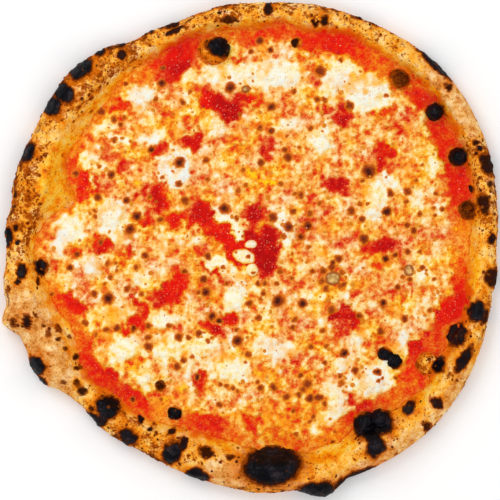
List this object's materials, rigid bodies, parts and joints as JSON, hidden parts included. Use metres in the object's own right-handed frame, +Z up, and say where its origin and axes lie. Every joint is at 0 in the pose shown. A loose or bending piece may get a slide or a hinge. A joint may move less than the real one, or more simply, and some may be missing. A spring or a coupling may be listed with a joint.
{
  "type": "margherita pizza",
  "caption": "Whole baked margherita pizza: a thin dough disc with a puffed, charred rim, tomato sauce, a sheet of melted mozzarella and thicker white pools.",
  "frame": {"origin": "middle of the flat underside", "axes": "+Z up out of the toppings; +X and +Y in the plane of the disc"},
  "size_m": [0.307, 0.3061, 0.0252],
  "materials": {
    "baked_dough": "baked wheat dough, floury tan to golden, with charred blisters",
    "tomato_sauce": "wet crushed tomato",
    "melted_cheese": "thin melted mozzarella stained with sauce and oil, with brown spots",
    "mozzarella": "thick melted mozzarella, moist and creamy white"
  },
  "bodies": {
    "root": {"crust": "baked_dough", "tomato_sauce": "tomato_sauce", "mozzarella_melt": "melted_cheese", "mozzarella_pool_01": "mozzarella", "mozzarella_pool_02": "mozzarella", "mozzarella_pool_03": "mozzarella", "mozzarella_pool_04": "mozzarella", "mozzarella_pool_05": "mozzarella", "mozzarella_pool_06": "mozzarella", "mozzarella_pool_07": "mozzarella", "mozzarella_pool_08": "mozzarella", "mozzarella_pool_09": "mozzarella", "mozzarella_pool_10": "mozzarella", "mozzarella_pool_11": "mozzarella", "mozzarella_pool_12": "mozzarella", "mozzarella_pool_13": "mozzarella", "mozzarella_pool_14": "mozzarella", "mozzarella_pool_15": "mozzarella", "mozzarella_pool_16": "mozzarella", "mozzarella_pool_17": "mozzarella", "mozzarella_pool_18": "mozzarella", "mozzarella_pool_19": "mozzarella", "mozzarella_pool_20": "mozzarella", "mozzarella_pool_21": "mozzarella", "mozzarella_pool_22": "mozzarella", "mozzarella_pool_23": "mozzarella", "mozzarella_pool_24": "mozzarella", "mozzarella_pool_25": "mozzarella", "mozzarella_pool_26": "mozzarella", "mozzarella_pool_27": "mozzarella", "mozzarella_pool_28": "mozzarella", "mozzarella_pool_29": "mozzarella", "mozzarella_pool_30": "mozzarella", "mozzarella_crumb_01": "mozzarella", "mozzarella_crumb_02": "mozzarella", "mozzarella_crumb_03": "mozzarella"}
  },
  "joints": []
}
